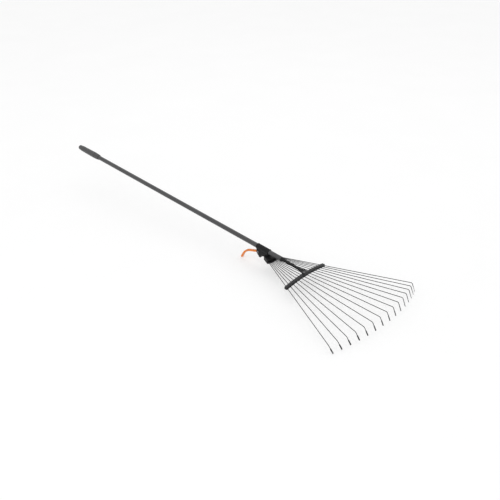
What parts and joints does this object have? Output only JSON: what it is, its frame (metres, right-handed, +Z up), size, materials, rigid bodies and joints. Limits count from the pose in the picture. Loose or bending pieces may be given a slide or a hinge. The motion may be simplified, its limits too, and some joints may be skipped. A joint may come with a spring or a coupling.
{
  "type": "adjustable wire leaf rake",
  "caption": "Leaf rake with a straight tube handle, soft grip, arched crossbar and spring wire tines fanned by a tine holder that slides on the tube and locks with a cam lever.",
  "frame": {"origin": "centre of the bounding box in X and Y, on the level that the outer tine tips and the lever tip rest on", "axes": "+X along the rake from the grip to the tine tips, +Y to the left, +Z up"},
  "size_m": [1.7249, 0.4958, 0.1869],
  "materials": {
    "coated_tube": "graphite powder coat, satin",
    "grip_rubber": "matt, soft touch",
    "black_plastic": "moulded, fine grain",
    "grey_plastic": "moulded, fine grain",
    "orange_plastic": "moulded, semi gloss",
    "spring_wire": "dark coated spring steel",
    "zinc_steel": "zinc plated",
    "shoe_rubber": "matt"
  },
  "bodies": {
    "handle_and_crossbar": {"handle_tube": "coated_tube", "neck": "black_plastic", "grip": "grip_rubber", "crossbar_comb": "grey_plastic", "crossbar_cover": "grey_plastic", "neck_bolts": "zinc_steel", "neck_nuts": "zinc_steel", "bar_screws": "zinc_steel"},
    "slider": {"slider_shell": "black_plastic", "tine_plate": "black_plastic", "holder_screws": "zinc_steel", "lever_pin": "zinc_steel", "pin_clip": "zinc_steel"},
    "brake_shoe_body": {"brake_shoe": "shoe_rubber"},
    "lever_body": {"cam_lever": "orange_plastic"},
    "tine_01_body": {"tine_01": "spring_wire"},
    "tine_02_body": {"tine_02": "spring_wire"},
    "tine_03_body": {"tine_03": "spring_wire"},
    "tine_04_body": {"tine_04": "spring_wire"},
    "tine_05_body": {"tine_05": "spring_wire"},
    "tine_06_body": {"tine_06": "spring_wire"},
    "tine_07_body": {"tine_07": "spring_wire"},
    "tine_08_body": {"tine_08": "spring_wire"},
    "tine_09_body": {"tine_09": "spring_wire"},
    "tine_10_body": {"tine_10": "spring_wire"},
    "tine_11_body": {"tine_11": "spring_wire"},
    "tine_12_body": {"tine_12": "spring_wire"},
    "tine_13_body": {"tine_13": "spring_wire"},
    "tine_14_body": {"tine_14": "spring_wire"},
    "tine_15_body": {"tine_15": "spring_wire"}
  },
  "joints": [
    {"name": "slider_travel", "type": "slide", "parent": "handle_and_crossbar", "child": "slider", "axis": [-0.9964, 0, 0.0851], "range_m": [-0.01, 0.06]},
    {"name": "lever_swing", "type": "hinge", "parent": "slider", "child": "lever_body", "pos_m": [0.27825, 0, 0.06091], "axis": [0, -1, 0], "range_deg": [0, 75]},
    {"name": "shoe_lift", "type": "slide", "parent": "slider", "child": "brake_shoe_body", "axis": [-0.0851, 0, -0.9964], "range_m": [0, 0.001]},
    {"name": "tine_01_pivot", "type": "hinge", "parent": "slider", "child": "tine_01_body", "pos_m": [0.34409, -0.02554, 0.05291], "axis": [0.0849, 0.0597, 0.9946], "range_deg": [-1.64, 7.37]},
    {"name": "tine_02_pivot", "type": "hinge", "parent": "slider", "child": "tine_02_body", "pos_m": [0.34409, -0.02189, 0.05291], "axis": [0.0846, 0.1045, 0.9909], "range_deg": [-1.53, 6.66]},
    {"name": "tine_03_pivot", "type": "hinge", "parent": "slider", "child": "tine_03_body", "pos_m": [0.34409, -0.01824, 0.05291], "axis": [0.084, 0.1597, 0.9836], "range_deg": [-1.4, 5.88]},
    {"name": "tine_04_pivot", "type": "hinge", "parent": "slider", "child": "tine_04_body", "pos_m": [0.34409, -0.0146, 0.05291], "axis": [0.0827, 0.2321, 0.9692], "range_deg": [-1.25, 5.01]},
    {"name": "tine_05_pivot", "type": "hinge", "parent": "slider", "child": "tine_05_body", "pos_m": [0.34409, -0.01095, 0.05291], "axis": [0.0801, 0.3352, 0.9387], "range_deg": [-1.1, 4.09]},
    {"name": "tine_06_pivot", "type": "hinge", "parent": "slider", "child": "tine_06_body", "pos_m": [0.34409, -0.0073, 0.05291], "axis": [0.0738, 0.4978, 0.8641], "range_deg": [-0.94, 3.14]},
    {"name": "tine_07_pivot", "type": "hinge", "parent": "slider", "child": "tine_07_body", "pos_m": [0.34409, -0.00365, 0.05291], "axis": [0.0546, 0.7672, 0.639], "range_deg": [-0.8, 2.31]},
    {"name": "tine_08_pivot", "type": "hinge", "parent": "slider", "child": "tine_08_body", "pos_m": [0.34409, 0, 0.05291], "axis": [0, 1, 0], "range_deg": [-0.74, 1.91]},
    {"name": "tine_09_pivot", "type": "hinge", "parent": "slider", "child": "tine_09_body", "pos_m": [0.34409, 0.00365, 0.05291], "axis": [-0.0546, 0.7672, -0.639], "range_deg": [-0.8, 2.31]},
    {"name": "tine_10_pivot", "type": "hinge", "parent": "slider", "child": "tine_10_body", "pos_m": [0.34409, 0.0073, 0.05291], "axis": [-0.0738, 0.4978, -0.8641], "range_deg": [-0.94, 3.14]},
    {"name": "tine_11_pivot", "type": "hinge", "parent": "slider", "child": "tine_11_body", "pos_m": [0.34409, 0.01095, 0.05291], "axis": [-0.0801, 0.3352, -0.9387], "range_deg": [-1.1, 4.09]},
    {"name": "tine_12_pivot", "type": "hinge", "parent": "slider", "child": "tine_12_body", "pos_m": [0.34409, 0.0146, 0.05291], "axis": [-0.0827, 0.2321, -0.9692], "range_deg": [-1.25, 5.01]},
    {"name": "tine_13_pivot", "type": "hinge", "parent": "slider", "child": "tine_13_body", "pos_m": [0.34409, 0.01824, 0.05291], "axis": [-0.084, 0.1597, -0.9836], "range_deg": [-1.4, 5.88]},
    {"name": "tine_14_pivot", "type": "hinge", "parent": "slider", "child": "tine_14_body", "pos_m": [0.34409, 0.02189, 0.05291], "axis": [-0.0846, 0.1045, -0.9909], "range_deg": [-1.53, 6.66]},
    {"name": "tine_15_pivot", "type": "hinge", "parent": "slider", "child": "tine_15_body", "pos_m": [0.34409, 0.02554, 0.05291], "axis": [-0.0849, 0.0597, -0.9946], "range_deg": [-1.64, 7.37]}
  ],
  "couplings": [
    {"joint": "shoe_lift", "follows": "lever_swing", "m_per_rad": 0.00042},
    {"joint": "tine_01_pivot", "follows": "slider_travel", "rad_per_m": 1.9976},
    {"joint": "tine_02_pivot", "follows": "slider_travel", "rad_per_m": 1.7932},
    {"joint": "tine_03_pivot", "follows": "slider_travel", "rad_per_m": 1.5663},
    {"joint": "tine_04_pivot", "follows": "slider_travel", "rad_per_m": 1.3117},
    {"joint": "tine_05_pivot", "follows": "slider_travel", "rad_per_m": 1.0433},
    {"joint": "tine_06_pivot", "follows": "slider_travel", "rad_per_m": 0.76861},
    {"joint": "tine_07_pivot", "follows": "slider_travel", "rad_per_m": 0.52592},
    {"joint": "tine_08_pivot", "follows": "slider_travel", "rad_per_m": 0.41058},
    {"joint": "tine_09_pivot", "follows": "slider_travel", "rad_per_m": 0.52592},
    {"joint": "tine_10_pivot", "follows": "slider_travel", "rad_per_m": 0.76861},
    {"joint": "tine_11_pivot", "follows": "slider_travel", "rad_per_m": 1.0433},
    {"joint": "tine_12_pivot", "follows": "slider_travel", "rad_per_m": 1.3117},
    {"joint": "tine_13_pivot", "follows": "slider_travel", "rad_per_m": 1.5663},
    {"joint": "tine_14_pivot", "follows": "slider_travel", "rad_per_m": 1.7932},
    {"joint": "tine_15_pivot", "follows": "slider_travel", "rad_per_m": 1.9976}
  ]
}
